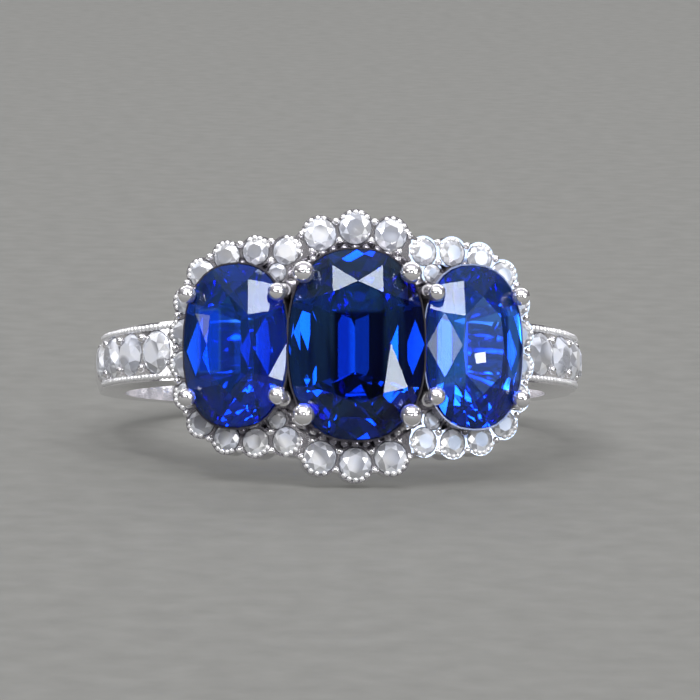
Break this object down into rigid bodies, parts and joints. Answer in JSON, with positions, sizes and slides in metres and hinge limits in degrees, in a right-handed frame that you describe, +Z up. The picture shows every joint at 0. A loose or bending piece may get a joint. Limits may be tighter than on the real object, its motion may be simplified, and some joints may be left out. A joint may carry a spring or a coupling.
{
  "type": "three stone ring",
  "caption": "Finger ring with oval blue stones side by side in ball claws, inside one scalloped halo of small round stones, on a band with stone-set shoulders.",
  "frame": {"origin": "centre of the finger hole", "axes": "+Z up from the table that the ring lies on, on its side; -Y towards the head of the ring; +X to the right of someone who looks at the head"},
  "size_m": [0.0188, 0.0222, 0.0101],
  "materials": {
    "white_gold": "high polish, cool white",
    "blue_stone": "clear deep blue, faceted and polished",
    "white_stone": "clear colourless, faceted and polished"
  },
  "bodies": {
    "root": {"ring_metal": "white_gold", "centre_stone": "blue_stone", "left_stone": "blue_stone", "right_stone": "blue_stone", "halo_stone_01": "white_stone", "halo_stone_02": "white_stone", "halo_stone_03": "white_stone", "halo_stone_04": "white_stone", "halo_stone_05": "white_stone", "halo_stone_06": "white_stone", "halo_stone_07": "white_stone", "halo_stone_08": "white_stone", "halo_stone_09": "white_stone", "halo_stone_10": "white_stone", "halo_stone_11": "white_stone", "halo_stone_12": "white_stone", "halo_stone_13": "white_stone", "halo_stone_14": "white_stone", "halo_stone_15": "white_stone", "halo_stone_16": "white_stone", "halo_stone_17": "white_stone", "halo_stone_18": "white_stone", "halo_stone_19": "white_stone", "halo_stone_20": "white_stone", "halo_stone_21": "white_stone", "halo_stone_22": "white_stone", "halo_stone_23": "white_stone", "halo_stone_24": "white_stone", "halo_stone_25": "white_stone", "halo_stone_26": "white_stone", "halo_stone_27": "white_stone", "halo_stone_28": "white_stone", "halo_stone_29": "white_stone", "halo_stone_30": "white_stone", "halo_stone_31": "white_stone", "halo_stone_32": "white_stone", "halo_stone_33": "white_stone", "halo_stone_34": "white_stone", "left_shoulder_stones": "white_stone", "right_shoulder_stones": "white_stone"}
  },
  "joints": []
}
